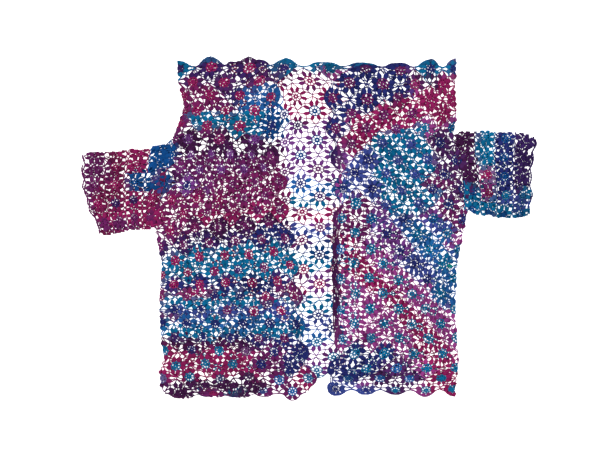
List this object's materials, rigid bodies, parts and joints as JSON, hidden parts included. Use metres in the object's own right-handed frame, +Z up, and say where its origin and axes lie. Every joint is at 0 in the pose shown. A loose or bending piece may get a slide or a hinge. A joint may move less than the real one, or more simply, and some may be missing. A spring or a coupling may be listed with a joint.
{
  "type": "cardigan",
  "caption": "Open-front cardigan of crocheted flower lace with short tube sleeves and scalloped edges, laid flat with its fronts over the back.",
  "frame": {"origin": "middle of the garment's outline, on the surface that it lies on", "axes": "+X to the viewer's right across both sleeves, +Y from the hem to the neck edge, +Z up off the surface"},
  "size_m": [0.804, 0.6033, 0.0074],
  "materials": {
    "lace_back": "matt crocheted yarn, dyed in turns of plum, magenta, navy and teal",
    "lace_front_left": "matt crocheted yarn, plum and magenta above, teal and navy bands below",
    "lace_front_right": "matt crocheted yarn, slanting bands of magenta, teal, navy and plum",
    "lace_sleeve_left": "matt crocheted yarn, plum and magenta with a blue patch",
    "lace_sleeve_right": "matt crocheted yarn, teal and navy bands between plum ones"
  },
  "bodies": {
    "root": {"back": "lace_back", "front_left": "lace_front_left", "front_right": "lace_front_right", "sleeve_left_under": "lace_sleeve_left", "sleeve_left_over": "lace_sleeve_left", "sleeve_right_under": "lace_sleeve_right", "sleeve_right_over": "lace_sleeve_right"}
  },
  "joints": []
}
